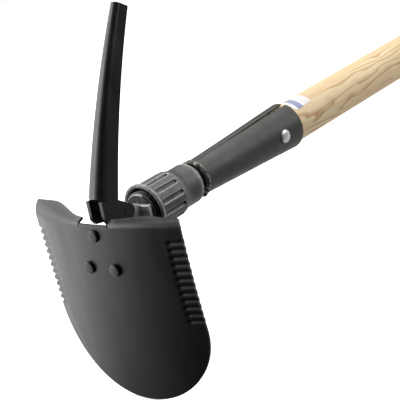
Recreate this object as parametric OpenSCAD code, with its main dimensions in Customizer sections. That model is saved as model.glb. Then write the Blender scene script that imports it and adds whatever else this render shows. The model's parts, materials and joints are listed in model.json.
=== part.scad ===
// Long-handled folding shovel and pick.
// +X runs along the handle away from the head, +Z is the pick's side.
// The origin is the centre of the ferrule's mouth, on the handle's axis.

/* [Handle] */
// Length of the wooden handle outside the ferrule
handle_len = 960; // [600:10:1200]
// Diameter of the wooden handle
handle_d = 36; // [32:0.5:39]
// Length of the tapered tenon inside the ferrule
tenon_len = 86; // [50:1:88]
// Radius of the rounded butt end
butt_round = 12; // [4:0.5:15]
// Gap between the tenon and the ferrule
tenon_gap = 0.2; // [0.1:0.05:0.4]

/* [Ferrule] */
// Length of the ferrule
ferrule_len = 119; // [100:1:180]
// Gap between the handle and the ferrule at the mouth
mouth_gap = 0.7; // [0.3:0.1:1.5]
// Step from the yoke's neck up to the ferrule's narrow end
throat_step = 2.7; // [2.3:0.1:4]
// Wall of the ferrule
ferrule_wall = 1.8; // [1.2:0.1:2.2]
// Width of the open seam at the mouth
seam_mouth = 6; // [3:0.5:9]
// Width of the open seam at the narrow end
seam_throat = 1.2; // [0.6:0.1:2]
// Angle of the seam from the top towards -Y
seam_turn = 12; // [0:1:40]
// Distance of the ferrule rivet from the mouth
rivet_inset = 24; // [14:1:40]
// Diameter of the ferrule rivet
rivet_d = 6; // [4:0.5:8]
// Diameter of the ferrule rivet's head
rivet_head_d = 11; // [9:0.5:14]
// Height of the ferrule rivet's head
rivet_head_h = 3.2; // [2:0.1:4]
// Leg of the weld fillet round the narrow end
weld_leg = 4.4; // [3:0.2:5]

/* [Collar] */
// Overall length of the locking collar
collar_len = 52.5; // [44:0.5:60]
// Height of the front rim above the lands of the grip
rim_h = 1.4; // [0.6:0.1:3]
// Length of the front rim
rim_len = 2.6; // [1.5:0.1:4]
// Height of the lands above the rear sleeve
land_h = 2.2; // [1.8:0.1:4]
// Length of the grip, with the rim
grip_len = 28.5; // [22:0.5:32]
// Length of the taper behind the grip
grip_taper = 10; // [6:0.5:12]
// Wall of the rear sleeve
sleeve_wall = 1.6; // [1.2:0.1:3]
// Number of grooves in the grip
grooves = 12; // [8:1:16]
// Width of a grip groove
groove_w = 3.2; // [2:0.1:4]
// Step from the collar's bore out to the recess in its front
recess_step = 2.1; // [1:0.1:2.4]
// Depth of the recess in the front of the collar
recess_len = 8; // [5:0.5:10]
// Gap between the collar and the ferrule
collar_gap = 9; // [7:0.5:14]
// Axial width of the guide ring that carries the collar
ring_w = 4; // [3:0.5:5]

/* [Yoke] */
// Outside diameter of the thread
thread_d = 29.2; // [24:0.2:40]
// Pitch of the thread
pitch = 4; // [3:0.5:5]
// Depth of the thread
thread_h = 1.3; // [0.8:0.1:1.6]
// Clearance between the thread and the collar's bore
thread_gap = 0.3; // [0.2:0.05:0.5]
// Step from the root of the thread down to the plain neck
neck_step = 1.3; // [0.5:0.1:2]
// Length of the thread
thread_len = 34; // [28:1:36]
// Length of thread in front of the collar
thread_show = 4; // [2:0.5:6]
// Length of the flat shoulder block
block_len = 4; // [3:0.5:6]
// Distance by which the shoulder block is narrower than the thread
block_inset = 1.2; // [0:0.1:3]
// Thickness of the flat shoulder block
block_t = 13.4; // [10:0.2:14]
// Thickness of the tongue that carries the hinge pins
tongue_w = 10; // [8:0.5:12]
// Distance from the shoulder block to the hinge pins
tongue_reach = 15; // [13:0.5:20]
// Radius of the eyes round the hinge pins
eye_r = 7; // [5.5:0.1:7.4]
// Height of the pick's pin above the handle's axis
pick_pin_z = 9; // [8:0.5:11]
// Depth of the blade's pin below the handle's axis
blade_pin_z = 7; // [6:0.5:9]
// Length of the yoke inside the ferrule
tail_len = 26; // [18:1:30]

/* [Hinge pins] */
// Diameter of the hinge pins
pin_d = 6; // [5:0.5:8]
// Radial running clearance of the hinge pins
pin_fit = 0.05; // [0.02:0.01:0.1]
// Diameter of the hinge pin heads
pin_head_d = 8.6; // [7:0.2:9]
// Thickness of the hinge pin heads
pin_head_t = 1.8; // [1.2:0.1:2.5]
// Side gap between moving plates
side_gap = 0.3; // [0.2:0.05:0.5]

/* [Blade] */
// Width of the blade
blade_w = 152; // [120:1:190]
// Length of the blade below the handle's axis
blade_len = 137; // [115:1:190]
// Thickness of the blade's sheet
sheet_t = 2; // [1.5:0.1:2.5]
// Radius of the blade's bow across its width
bow_r = 237; // [180:1:400]
// Radius of the blade's bow along its length
sweep_r = 900; // [600:10:2000]
// Distance from the hinge pins forward to the back of the blade
blade_reach = 29; // [24:0.5:32]
// Height of the step's bend above the handle's axis
step_z = 10.5; // [8:0.5:12]
// Depth of the step at the shoulders, from the front of the blade
step_depth = 22; // [18:0.5:26]
// Depth of the step beside the notch
step_root = 8; // [6:0.5:12]
// Upward slope of the step
step_rise = 20; // [5:1:25]
// Width of the notch in the step
notch_w = 30; // [28:0.5:40]
// Length of the straight side of the blade below the handle's axis
side_len = 72; // [50:1:90]
// Number of pressed ribs on each side
ribs = 12; // [6:1:16]
// Spacing of the ribs
rib_step = 5.6; // [4.5:0.1:7]
// Depth of the scallops in the edge
scallop = 0.8; // [0.4:0.1:1.2]
// Depth of the first rib below the handle's axis
rib_start = 0; // [0:1:12]

/* [Blade bracket] */
// Thickness of the bracket's plate
plate_t = 2.5; // [2:0.1:3]
// Width of the bracket's plate
plate_w = 40; // [36:1:50]
// Depth of the bracket's lower end below the handle's axis
plate_drop = 33; // [30:1:45]
// Thickness of the bracket's ears
ear_t = 3; // [2.5:0.1:3.5]
// Diameter of the blade rivets
bolt_d = 5; // [4:0.2:6]
// Diameter of the blade rivets' heads
bolt_head_d = 9.6; // [8:0.2:11]
// Height of the blade rivets' heads
bolt_head_t = 2.6; // [1.5:0.1:3]
// Height of the upper rivet
upper_rivet_z = 2; // [-2:0.5:2]
// Depth of the lower rivets below the handle's axis
lower_rivet_z = 24; // [22:1:30]
// Spacing of the lower rivets
lower_rivet_gap = 27; // [22:0.5:30]

/* [Pick] */
// Length of the pick's channel along its curve
pick_len = 141; // [115:1:180]
// Height of the channel's root above the handle's axis
root_z = 24; // [22:0.5:30]
// Distance from the hinge pin forward to the middle of the channel's root
root_x = 14.5; // [8:0.5:16]
// Lean of the root towards the handle
pick_lean = 22; // [10:1:30]
// Radius of the pick's curve
pick_curve_r = 800; // [400:10:2000]
// Width of the channel at the tip
tip_w = 8.5; // [6:0.5:12]
// Depth of the channel at the root
root_depth = 18; // [13:0.5:18]
// Depth of the channel at the tip
tip_depth = 11.5; // [7:0.5:12]
// Wall of the channel
pick_wall = 3; // [2:0.1:3.2]
// Length of the solid tip
tip_solid = 12; // [6:1:25]

/* [Hidden] */

STEEL_BLACK = "#2b2c2e";
STEEL_BARE = "#8c8c88";
PAINT_GREY = "#55554f";
ZINC = "#b9bbbd";
ASH = "#d9bf86";

// Stations along the handle's axis, from the ferrule towards the head.
throat_x = -ferrule_len;
collar_back = throat_x - collar_gap;
collar_front = collar_back - collar_len;
thread_front = collar_front - thread_show;
block_front = thread_front - block_len;
hinge_x = block_front - tongue_reach;
sheet_back = hinge_x - blade_reach;
sheet_front = sheet_back - sheet_t;

bore_r = thread_d / 2 + thread_gap;
neck_d = thread_d - 2 * (thread_h + neck_step);
throat_d = neck_d + 2 * throat_step;
mouth_d = handle_d + 2 * (mouth_gap + ferrule_wall);
sleeve_d = 2 * (bore_r + sleeve_wall);
grip_d = sleeve_d + 2 * land_h;
rim_d = grip_d + 2 * rim_h;
recess_d = 2 * (bore_r + recess_step);
block_w = thread_d - block_inset;
ring_x = collar_back - 2 * ring_w;
tail_d = throat_d - 2 * ferrule_wall - 2 * tenon_gap;
hole_d = pin_d + 2 * pin_fit;
plate_gap = 0.1;

// Plates stacked outwards from the tongue, along Y.
root_w = tongue_w + 2 * (side_gap + pick_wall);
pick_half = root_w / 2;
ear_in = pick_half + side_gap;
ear_out = ear_in + ear_t;

// A cylinder of diameter d along X from x0 to x1.
module rod_x(d, x0, x1) {
    translate([x0, 0, 0])
        rotate([0, 90, 0])
            cylinder(d = d, h = x1 - x0, $fn = 96);
}

// A cylinder of diameter d along Y, centred on the XZ plane.
module rod_y(d, length, x, z) {
    translate([x, 0, z])
        rotate([90, 0, 0])
            cylinder(d = d, h = length, center = true, $fn = 64);
}

// Turns a profile drawn as [radius, x] about the handle's axis.
module lathe_x() {
    rotate([0, 90, 0])
        rotate([0, 0, 180])
            rotate_extrude($fn = 96)
                children();
}

// A plate of thickness t drawn as [x, z] and centred at y.
module plate_xz(t, y = 0) {
    translate([0, y + t / 2, 0])
        rotate([90, 0, 0])
            linear_extrude(height = t)
                children();
}

function mix(a, b, k) = a + (b - a) * k;

// ---- Handle and ferrule ----

// Inside radius of the ferrule at x.
function socket_r(x) = mix(throat_d, mouth_d, (x + ferrule_len) / ferrule_len) / 2 - ferrule_wall;

module handle() {
    r = handle_d / 2;
    steps = 8;
    butt = [for (i = [0 : steps])
        [r - butt_round * (1 - cos(90 * i / steps)), handle_len - butt_round * (1 - sin(90 * i / steps))]];
    color(ASH)
        difference() {
            lathe_x()
                polygon(concat(
                    [[0, -tenon_len], [min(socket_r(-tenon_len), r) - tenon_gap, -tenon_len]],
                    [[min(socket_r(0), r) - tenon_gap, -tenon_gap], [r, 0]],
                    butt,
                    [[0, handle_len]]));
            rod_y(rivet_d + 2 * pin_fit, handle_d * 2, -rivet_inset, 0);
        }
}

module ferrule() {
    color(PAINT_GREY)
        difference() {
            lathe_x()
                polygon([[throat_d / 2 - ferrule_wall, throat_x], [throat_d / 2, throat_x],
                         [mouth_d / 2, 0], [mouth_d / 2 - ferrule_wall, 0]]);
            rotate([seam_turn, 0, 0])
                linear_extrude(height = mouth_d)
                    polygon([[throat_x - 1, -seam_throat / 2], [1, -seam_mouth / 2],
                             [1, seam_mouth / 2], [throat_x - 1, seam_throat / 2]]);
            rod_y(rivet_d + 2 * pin_fit, mouth_d * 2, -rivet_inset, 0);
        }
}

module ferrule_rivet() {
    seat = socket_r(rivet_head_d / 2 - rivet_inset) + ferrule_wall;
    dome_r = (pow(rivet_head_d / 2, 2) + pow(rivet_head_h, 2)) / (2 * rivet_head_h);
    color(ZINC) {
        rod_y(rivet_d, 2 * seat + 1, -rivet_inset, 0);
        for (side = [-1, 1])
            translate([-rivet_inset, side * seat, 0])
                rotate([-90 * side, 0, 0])
                    intersection() {
                        translate([0, 0, rivet_head_h - dome_r])
                            sphere(r = dome_r, $fn = 64);
                        cylinder(d = rivet_head_d + 2, h = rivet_head_h + 1, $fn = 64);
                    }
    }
}

module weld_bead() {
    color(ZINC)
        lathe_x()
            intersection() {
                translate([neck_d / 2, throat_x])
                    circle(r = weld_leg, $fn = 48);
                translate([neck_d / 2 + pin_fit, throat_x - weld_leg])
                    square([weld_leg, weld_leg]);
            }
}

// ---- Yoke and collar ----

// Ridges of the thread, as closed rings of trapezoid section.
function thread_profile() =
    let (n = floor(thread_len / pitch), r = thread_d / 2)
    [for (i = [0 : n - 1], p = [[0.1, thread_h], [0.35, 0], [0.65, 0], [0.9, thread_h]])
        [r - p[1], thread_front + (i + p[0]) * pitch]];

module yoke() {
    thread_back = thread_front + thread_len;
    tail_front = throat_x - 0.5;
    color(STEEL_BARE)
        difference() {
            union() {
                lathe_x()
                    polygon(concat([[0, thread_front], [thread_d / 2 - thread_h, thread_front]],
                                   thread_profile(),
                                   [[neck_d / 2, thread_back], [0, thread_back]]));
                rod_x(neck_d, thread_back - 1, throat_x);
                rod_x(min(neck_d, tail_d), tail_front, throat_x + tail_len);
                translate([block_front, -block_w / 2, -block_t / 2])
                    cube([block_len + 1, block_w, block_t]);
                translate([hinge_x, -tongue_w / 2, -block_t / 2])
                    cube([tongue_reach + 1, tongue_w, block_t]);
                plate_xz(tongue_w)
                    union() {
                        translate([hinge_x, pick_pin_z])
                            circle(r = eye_r, $fn = 64);
                        translate([hinge_x, -blade_pin_z])
                            circle(r = eye_r, $fn = 64);
                        translate([hinge_x - eye_r, -blade_pin_z])
                            square([2 * eye_r, pick_pin_z + blade_pin_z]);
                    }
            }
            rod_y(hole_d, tongue_w * 2, hinge_x, pick_pin_z);
            rod_y(hole_d, tongue_w * 2, hinge_x, -blade_pin_z);
        }
}

module guide_ring() {
    color(ZINC)
        difference() {
            rod_x(2 * bore_r - 0.1, ring_x, ring_x + ring_w);
            rod_x(neck_d + 2 * pin_fit, ring_x - 1, ring_x + ring_w + 1);
        }
}

module collar() {
    grip_back = collar_front + grip_len;
    groove_r = groove_w / 2;
    chamfer = 0.8;
    color(PAINT_GREY)
        difference() {
            lathe_x()
                polygon([[recess_d / 2, collar_front], [rim_d / 2 - chamfer, collar_front],
                         [rim_d / 2, collar_front + chamfer], [rim_d / 2, collar_front + rim_len],
                         [grip_d / 2, collar_front + rim_len + chamfer], [grip_d / 2, grip_back],
                         [sleeve_d / 2, grip_back + grip_taper], [sleeve_d / 2, collar_back - chamfer],
                         [sleeve_d / 2 - chamfer, collar_back], [bore_r, collar_back],
                         [bore_r, collar_front + recess_len + 2], [recess_d / 2, collar_front + recess_len]]);
            for (i = [0 : grooves - 1])
                rotate([360 * (i + 0.5) / grooves, 0, 0])
                    translate([0, 0, grip_d / 2 + groove_r * 0.25]) {
                        translate([collar_front + rim_len + 1 + groove_r, 0, 0])
                            sphere(r = groove_r, $fn = 32);
                        translate([grip_back - groove_r, 0, 0])
                            sphere(r = groove_r, $fn = 32);
                        rod_x(groove_w, collar_front + rim_len + 1 + groove_r, grip_back - groove_r);
                    }
        }
}

// ---- Hinge pins ----

// A pin along Y with a flat head outside each plate that it carries.
module headed_pin(half_grip, z) {
    length = 2 * (half_grip + side_gap + pin_head_t);
    color(ZINC) {
        rod_y(pin_d, length, hinge_x, z);
        for (side = [-1, 1])
            translate([hinge_x, side * (half_grip + side_gap + pin_head_t / 2), z])
                rotate([90, 0, 0])
                    cylinder(d = pin_head_d, h = pin_head_t, center = true, $fn = 48);
    }
}

module pick_pin() {
    color(ZINC)
        rod_y(pin_d, root_w + 2 * side_gap, hinge_x, pick_pin_z);
}

module blade_pin() {
    headed_pin(ear_out, -blade_pin_z);
}

// ---- Pick ----

// Angle from +Z towards +X, and the middle of the channel, at a share k of its length.
function pick_angle(k) = pick_lean + k * pick_len / pick_curve_r * 180 / PI;
function pick_mid(k) = [
    hinge_x - root_x + pick_curve_r * (cos(pick_lean) - cos(pick_angle(k))),
    root_z + pick_curve_r * (sin(pick_angle(k)) - sin(pick_lean))];
// A point at a share k of the length and a distance d behind the middle.
function pick_point(k, d) = pick_mid(k) + d * [cos(pick_angle(k)), -sin(pick_angle(k))];
function half_depth(k) = mix(root_depth, tip_depth, k) / 2;
function half_width(k) = mix(root_w, tip_w, k) / 2;

// Side profile of the channel from share k0 to k1, with its front set back by inset.
module pick_side(k0, k1, inset, back) {
    steps = 16;
    shares = [for (i = [0 : steps]) mix(k0, k1, i / steps)];
    polygon(concat(
        [for (k = shares) pick_point(k, inset - half_depth(k))],
        [for (i = [steps : -1 : 0]) pick_point(shares[i], half_depth(shares[i]) + back)]));
}

// Taper of the channel seen from the front, as a wedge along X; share 0 is at the hinge pin.
module pick_front(wall) {
    tip_z = pick_mid(1)[1] + tip_depth;
    translate([hinge_x - 60, 0, 0])
        rotate([90, 0, 90])
            linear_extrude(height = 200)
                polygon([[-root_w / 2 + wall, -20], [root_w / 2 - wall, -20],
                         [root_w / 2 - wall, root_z], [tip_w / 2 - wall, tip_z],
                         [-tip_w / 2 + wall, tip_z], [-root_w / 2 + wall, root_z]]);
}

module pick() {
    hollow_end = 1 - tip_solid / pick_len;
    eye = [hinge_x, pick_pin_z];
    front_foot = pick_point(0, -half_depth(0));
    rear_foot = pick_point(0.03, half_depth(0.03));
    ear_foot = [front_foot[0] - 1, pick_pin_z + 1];
    slot_half = tongue_w / 2 + side_gap;
    color(STEEL_BLACK)
        difference() {
            intersection() {
                union() {
                    plate_xz(root_w)
                        pick_side(0, 1, 0, 0);
                    plate_xz(root_w)
                        polygon([front_foot, rear_foot, eye + 0.8 * eye_r * [cos(35), sin(35)],
                                 eye - 0.8 * eye_r * [cos(60), sin(60)], ear_foot]);
                    rod_y(2 * eye_r, root_w, eye[0], eye[1]);
                }
                pick_front(0);
            }
            intersection() {
                plate_xz(root_w)
                    pick_side(-0.02, hollow_end, pick_wall, 10);
                pick_front(pick_wall);
            }
            plate_xz(2 * slot_half)
                polygon([pick_point(0, -30), pick_point(0, 30), [hinge_x + 40, -20], [hinge_x - 40, -20]]);
            rod_y(hole_d, root_w * 2, eye[0], eye[1]);
        }
}

// ---- Blade ----

// A bowed shell between two depths behind the front of the blade, wide and tall enough to trim.
module bowed_shell(depth0, depth1) {
    turn = 16;
    mid_z = -blade_len / 6;
    translate([sheet_front + sweep_r, 0, mid_z])
        rotate([90, 0, 0])
            rotate([0, 0, 180 - turn / 2])
                rotate_extrude(angle = turn, $fn = 360)
                    intersection() {
                        difference() {
                            translate([sweep_r - bow_r, 0])
                                circle(r = bow_r - depth0, $fn = 240);
                            translate([sweep_r - bow_r, 0])
                                circle(r = bow_r - depth1, $fn = 240);
                        }
                        translate([sweep_r - bow_r * 0.35, -blade_w])
                            square([bow_r, 2 * blade_w]);
                    }
}

// Outline of the blade seen from the front, as [y, z].
module blade_outline() {
    half = blade_w / 2;
    steps = 14;
    corner_z = step_z + 4;
    drop = blade_len - side_len;
    nose = [for (i = [0 : steps]) [half * cos(90 * i / steps), -side_len - drop * sin(90 * i / steps)]];
    left = [for (i = [steps : -1 : 0]) [-nose[i][0], nose[i][1]]];
    difference() {
        polygon(concat([[half - 3, corner_z], [half, corner_z - 4]], nose, left,
                       [[-half, corner_z - 4], [-half + 3, corner_z], [-half * 0.5, step_z + 1],
                        [-notch_w / 2, step_z], [notch_w / 2, step_z], [half * 0.5, step_z + 1]]));
        for (side = [-1, 1], i = [0 : ribs - 1])
            translate([side * (half + 3 - scallop), -rib_start - (i + 0.5) * rib_step])
                circle(r = 3, $fn = 24);
    }
}

// Depth of the step at y, from the front of the blade: it deepens from the notch to the shoulder.
function step_depth_at(y) =
    let (k = min(1, max(0, (abs(y) - notch_w / 2) / (blade_w * 0.3))))
    mix(step_root, step_depth, k * k * (3 - 2 * k));

// Plan of one side of the step, as [x, y], with its front on the bow of the blade.
module step_plan() {
    steps = 16;
    inner = notch_w / 2;
    outer = blade_w / 2 - 1;
    intersection() {
        translate([bow_r, 0])
            circle(r = bow_r, $fn = 240);
        polygon(concat([[0, outer], [0, inner]],
                       [for (i = [0 : steps]) let (y = mix(inner, outer, i / steps)) [step_depth_at(y), y]]));
    }
}

module blade_rivet_holes(d) {
    for (p = rivet_points())
        translate([sheet_front - 10, p[0], p[1]])
            rotate([0, 90, 0])
                cylinder(d = d, h = 40, $fn = 48);
}

function rivet_points() = [
    [0, upper_rivet_z], [-lower_rivet_gap / 2, -lower_rivet_z], [lower_rivet_gap / 2, -lower_rivet_z]];

module blade() {
    color(STEEL_BLACK)
        difference() {
            union() {
                intersection() {
                    bowed_shell(0, sheet_t);
                    translate([sheet_front - 20, 0, 0])
                        rotate([90, 0, 90])
                            linear_extrude(height = 80)
                                blade_outline();
                }
                translate([sheet_front, 0, step_z])
                    rotate([0, -step_rise, 0])
                        translate([0, 0, -sheet_t])
                            linear_extrude(height = sheet_t)
                                for (side = [0, 1])
                                    mirror([0, side, 0])
                                        step_plan();
            }
            blade_rivet_holes(bolt_d + 2 * pin_fit);
        }
}

module bracket() {
    plate_top = step_z - 5;
    plate_back = sheet_back + plate_t;
    ear_top = -blade_pin_z + eye_r;
    ear_foot = bolt_head_d / 2 + 1.2 - lower_rivet_z;
    color(STEEL_BLACK)
        difference() {
            union() {
                intersection() {
                    bowed_shell(sheet_t + plate_gap, sheet_t + plate_gap + plate_t);
                    translate([sheet_front - 20, -plate_w / 2, -plate_drop])
                        cube([80, plate_w, plate_top + plate_drop]);
                }
                for (side = [-1, 1]) {
                    plate_xz(ear_t, side * (ear_in + ear_t / 2))
                        polygon([[plate_back, ear_foot], [plate_back, ear_top],
                                 [hinge_x, ear_top], [hinge_x + eye_r * sin(30), -blade_pin_z - eye_r * cos(30)]]);
                    translate([hinge_x, side * (ear_in + ear_t / 2), -blade_pin_z])
                        rotate([90, 0, 0])
                            cylinder(r = eye_r, h = ear_t, center = true, $fn = 64);
                }
            }
            blade_rivet_holes(bolt_d + 2 * pin_fit);
            rod_y(hole_d, ear_out * 2 + 2, hinge_x, -blade_pin_z);
        }
}

// How far the front of the blade lies behind its foremost point, at [y, z].
function bow_at(y, z) =
    bow_r - sqrt(bow_r * bow_r - y * y) + pow(z + blade_len / 6, 2) / (2 * sweep_r);

module blade_rivets() {
    head_r = bolt_head_d / 2;
    tail_t = 1.2;
    grip = sheet_t + plate_gap + plate_t;
    color(STEEL_BLACK)
        for (p = rivet_points()) {
            near = bow_at(max(0, abs(p[0]) - head_r), p[1]);
            far = bow_at(abs(p[0]) + head_r, p[1]) + grip;
            translate([sheet_front, p[0], p[1]])
                rotate([0, 90, 0]) {
                    translate([0, 0, near - bolt_head_t])
                        cylinder(d = bolt_head_d, h = bolt_head_t - plate_gap, $fn = 48);
                    translate([0, 0, near - bolt_head_t / 2])
                        cylinder(d = bolt_d, h = far - near + bolt_head_t / 2 + tail_t, $fn = 48);
                    translate([0, 0, far + plate_gap])
                        cylinder(d = bolt_head_d - 1.6, h = tail_t, $fn = 48);
                }
        }
}

handle();
ferrule();
ferrule_rivet();
weld_bead();
yoke();
guide_ring();
collar();
pick_pin();
blade_pin();
pick();
bracket();
blade();
blade_rivets();
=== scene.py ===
"""Looks for the long-handled folding shovel and pick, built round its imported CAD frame.

Lengths in this script are millimetres in the frame's own axes: +X along the handle away from
the head, +Z the pick's side. They are scaled to metres where a mesh, light or camera is made.
"""
import json
from math import atan2, ceil, cos, floor, hypot, pi, radians, sin, sqrt, tan

import bmesh
import bpy
from mathutils import Matrix, Vector, noise

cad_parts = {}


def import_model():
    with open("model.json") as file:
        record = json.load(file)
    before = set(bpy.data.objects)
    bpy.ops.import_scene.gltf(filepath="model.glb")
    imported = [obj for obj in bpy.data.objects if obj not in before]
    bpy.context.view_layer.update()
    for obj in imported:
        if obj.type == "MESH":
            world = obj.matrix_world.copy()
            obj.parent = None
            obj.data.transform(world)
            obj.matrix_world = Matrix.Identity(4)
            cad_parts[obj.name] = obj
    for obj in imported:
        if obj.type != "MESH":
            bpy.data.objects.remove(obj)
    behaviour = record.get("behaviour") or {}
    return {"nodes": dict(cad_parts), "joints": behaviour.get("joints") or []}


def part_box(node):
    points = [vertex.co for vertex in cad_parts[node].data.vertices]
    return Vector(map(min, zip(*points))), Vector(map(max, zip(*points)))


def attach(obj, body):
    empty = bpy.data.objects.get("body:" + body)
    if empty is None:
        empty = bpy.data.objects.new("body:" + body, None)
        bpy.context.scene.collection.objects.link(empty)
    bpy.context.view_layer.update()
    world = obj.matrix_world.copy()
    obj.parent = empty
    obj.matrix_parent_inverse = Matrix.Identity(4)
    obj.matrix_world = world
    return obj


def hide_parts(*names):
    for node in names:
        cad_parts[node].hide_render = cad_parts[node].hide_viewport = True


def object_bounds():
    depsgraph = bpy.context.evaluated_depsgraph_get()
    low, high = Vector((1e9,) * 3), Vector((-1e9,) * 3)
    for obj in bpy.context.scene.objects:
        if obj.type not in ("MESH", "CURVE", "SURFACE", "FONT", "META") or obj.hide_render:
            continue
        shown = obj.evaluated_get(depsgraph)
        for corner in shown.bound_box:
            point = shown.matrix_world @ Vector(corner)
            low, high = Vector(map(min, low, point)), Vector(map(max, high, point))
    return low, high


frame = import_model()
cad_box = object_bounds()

MM = 0.001
NODES = frame["nodes"]
JOINTS = {joint["name"]: joint for joint in frame["joints"]}


def span(node):
    """Lowest and highest corner of a CAD node, in millimetres."""
    low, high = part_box(node)
    return low / MM, high / MM


def pivot(joint):
    """A hinge's place, in millimetres."""
    return Vector(JOINTS[joint]["pos_m"]) / MM


# ---- Sizes taken from the frame ----

THROAT_X = span("ferrule")[0].x
FERRULE_LEN = span("ferrule")[1].x - THROAT_X
MOUTH_R = span("ferrule")[1].y
BUTT_X = span("handle")[1].x
TENON_X = span("handle")[0].x
HANDLE_R = span("handle")[1].y
COLLAR_FRONT, COLLAR_BACK = (corner.x for corner in span("collar"))
RIM_R = span("collar")[1].y
HINGE_X = pivot("pick_fold").x
PICK_PIN_Z = pivot("pick_fold").z
BLADE_PIN_Z = pivot("blade_fold").z
SHEET_FRONT = span("blade")[0].x
BLADE_HALF = span("blade")[1].y
BLADE_TIP_Z = span("blade")[0].z
ROOT_W = 2 * span("pick")[1].y


# ---- Sizes of the pieces made here ----

NECK_R = 12
THROAT_R = 14.7
FERRULE_WALL = 1.8
FERRULE_WAIST = 0.12
FERRULE_DENT = 0.10
FERRULE_STEPS = 60
FERRULE_SIDES = 110
SEAM_TURN = radians(12)
SEAM_MOUTH = 4.4
SEAM_THROAT = 1.0
SEAM_FLARE = 2.2
SEAM_WAVER = 0.22
LIP_W = 5
NEAR_LIP_DROP = 0.25
FAR_LIP_LIFT = 0.30

RIVET_X = -24
FERRULE_RIVET_R = 5.5
FERRULE_RIVET_H = 2.4

BUTT_ROUND = 12
TENON_GAP = 0.4
HANDLE_SIDES = 96

WELD_RING_R = 13.7
WELD_RING_X = THROAT_X - 0.9
WELD_SIZE = 2.0
WELD_PUDDLES = 15
WELD_RIPPLE = 0.35
WELD_LUMP = 0.45
WELD_GRIT = 0.16

THREAD_R = 14.6
THREAD_H = 1.3
PITCH = 4
THREAD_LEN = 34
THREAD_SHOW = 4
YOKE_TAIL = 26
THREAD_ROW = 0.4
THREAD_RUN_IN = 1.5
YOKE_SIDES = 72
BLOCK_LEN = 4
BLOCK_HALF_W = 14
BLOCK_HALF_T = 6.7
BLOCK_CHAMFER = 1.6
TONGUE_HALF = 5
TONGUE_OPEN = 0.35
THREAD_FRONT = COLLAR_FRONT - THREAD_SHOW
BLOCK_FRONT = THREAD_FRONT - BLOCK_LEN

GRIP_R = 18.7
SLEEVE_R = 16.5
BORE_R = 14.9
RECESS_R = 17
RECESS_LEN = 8
RECESS_LEAD = 2
RECESS_CHAMFER = 0.7
RIM_LEN = 2.6
RIM_ROUND = 0.9
GRIP_LEN = 28.5
TAPER_LEN = 10
GROOVES = 12
GROOVE_W = 4.0
GROOVE_DEPTH = 1.7
GROOVE_SLOPE = 0.42
GROOVE_SIDES = 18

SHEET_T = 2
BOW_R = 237
SWEEP_R = 900
SWEEP_Z = BLADE_TIP_Z / 6
STEP_Z = 10.5
STEP_RISE = radians(21)
STEP_RISE_RIGHT = radians(7)
SHOULDER_FLARE = 3
SHOULDER_TRIM = 5
RIGHT_DEPTH = 17
STEP_ROOT = 8
STEP_DEPTH = 22
STEP_BEND_R = 4
SHOULDER_BEND_R = 12
NOTCH_HALF = 15
NOTCH_RELIEF = 0.8
CORNER_R = 4
STEP_GROWTH = 0.6 * BLADE_HALF
SIDE_Z = -72
RIBS = 12
RIB_STEP = 5.6
RIB_START = 0
RIB_LEN = 13.5
RIB_HALF_W = 2.4
RIB_DEPTH = 1.5
SCALLOP = 0.8
SCALLOP_R = 3
RIB_MARGIN = 2

# How finely the blade's sheet is divided.
NOTCH_COLUMNS = 4
PLAIN_COLUMNS = 12
RIB_COLUMNS = 22
UPPER_ROWS = 7
ROWS_PER_RIB = 8
NOSE_ROWS = 42
NOTCH_ROWS = 3
BEND_ROWS = 7
STEP_ROWS = 6
SHOULDER_ROWS = 9

RIVETS = [(0, 2), (-13.5, -24), (13.5, -24)]
RIVET_HEAD_R = 4.8
RIVET_HEAD_H = 2.5
RIVET_TAIL_R = 4
RIVET_EDGE = 0.7
RIVET_TAIL_H = 1.1
RIVET_SIDES = 40
BACKING = 2.7

ROOT = Vector((HINGE_X - 14.5, 0, 24))
PICK_LEN = 143.5
PICK_LEAN = radians(22)
PICK_CURVE_R = 800
TIP_W = 8.5
ROOT_DEPTH = 18
TIP_DEPTH = 11.5
ROOT_CORNER_R = 6.6
TIP_CORNER_R = 3.6
ROOT_INNER_R = 3.4
TIP_INNER_R = 1.0
PICK_WALL = 3
TIP_SOLID = 12
PICK_EYE_R = 7
EAR_TOE_OUT = 0.8
EAR_TOE_IN = 1.6
EAR_TOE_TOP = 1.8
EAR_TOE_LOW = 2.2

# How finely the pick's channel and ears are divided.
WALL_POINTS = 6
CORNER_POINTS = 5
WEB_POINTS = 6
PICK_ROWS = 30
TIP_ROWS = 6
EAR_ROWS = 22
EYE_POINTS = 12

PITH_Y = 46
PITH_Z = -4
GRAIN_SWAY = 20
GRAIN_TILT = 0.012
RINGS_PER_M = 620

LABEL_START = 4
LABEL_LEN = 24
LABEL_W = 16
LABEL_TURN = radians(21)
LABEL_CORNER = 1.6
LABEL_T = 0.1


def mix(a, b, share):
    return a + (b - a) * share


def smooth(share):
    """Eases from 0 to 1 as share does, and stays there outside."""
    share = min(1.0, max(0.0, share))
    return share * share * (3 - 2 * share)


def steps(first, last, count):
    """count + 1 evenly spaced values from first to last."""
    return [mix(first, last, i / count) for i in range(count + 1)]


# ---- Mesh tools ----

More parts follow.
